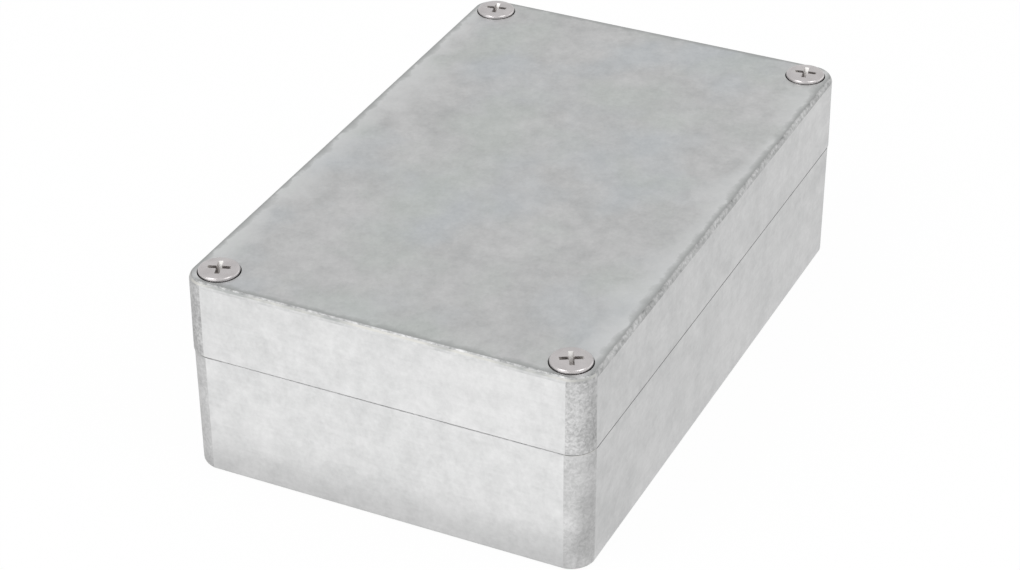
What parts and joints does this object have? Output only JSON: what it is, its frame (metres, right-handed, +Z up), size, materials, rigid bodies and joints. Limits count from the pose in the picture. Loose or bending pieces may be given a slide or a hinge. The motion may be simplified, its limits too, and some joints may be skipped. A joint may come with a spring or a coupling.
{
  "type": "die cast aluminium box",
  "caption": "Sealed die cast aluminium enclosure: a drafted tub, a deep lid with a gasket, cross recess lid screws, hidden wall fixing holes and board bosses.",
  "frame": {"origin": "middle of the underside, on the plane the box rests on", "axes": "+X along the length, +Y along the width, +Z up through the lid"},
  "size_m": [0.125, 0.08, 0.0418],
  "materials": {
    "die_cast_aluminium": "raw as cast, lightly blasted",
    "stainless_steel": "bright turned",
    "seal_rubber": "matt"
  },
  "bodies": {
    "base": {"base": "die_cast_aluminium"},
    "lid": {"lid": "die_cast_aluminium", "gasket": "seal_rubber"},
    "screw_left_front": {"lid_screw_left_front": "stainless_steel"},
    "screw_right_front": {"lid_screw_right_front": "stainless_steel"},
    "screw_right_back": {"lid_screw_right_back": "stainless_steel"},
    "screw_left_back": {"lid_screw_left_back": "stainless_steel"}
  },
  "joints": [
    {"name": "lid_lift", "type": "slide", "parent": "base", "child": "lid", "axis": [0, 0, 1], "range_m": [0, 0.06]},
    {"name": "undo_left_front", "type": "slide", "parent": "lid", "child": "screw_left_front", "axis": [0, 0, 1], "range_m": [0, 0.007]},
    {"name": "undo_right_front", "type": "slide", "parent": "lid", "child": "screw_right_front", "axis": [0, 0, 1], "range_m": [0, 0.007]},
    {"name": "undo_right_back", "type": "slide", "parent": "lid", "child": "screw_right_back", "axis": [0, 0, 1], "range_m": [0, 0.007]},
    {"name": "undo_left_back", "type": "slide", "parent": "lid", "child": "screw_left_back", "axis": [0, 0, 1], "range_m": [0, 0.007]}
  ]
}
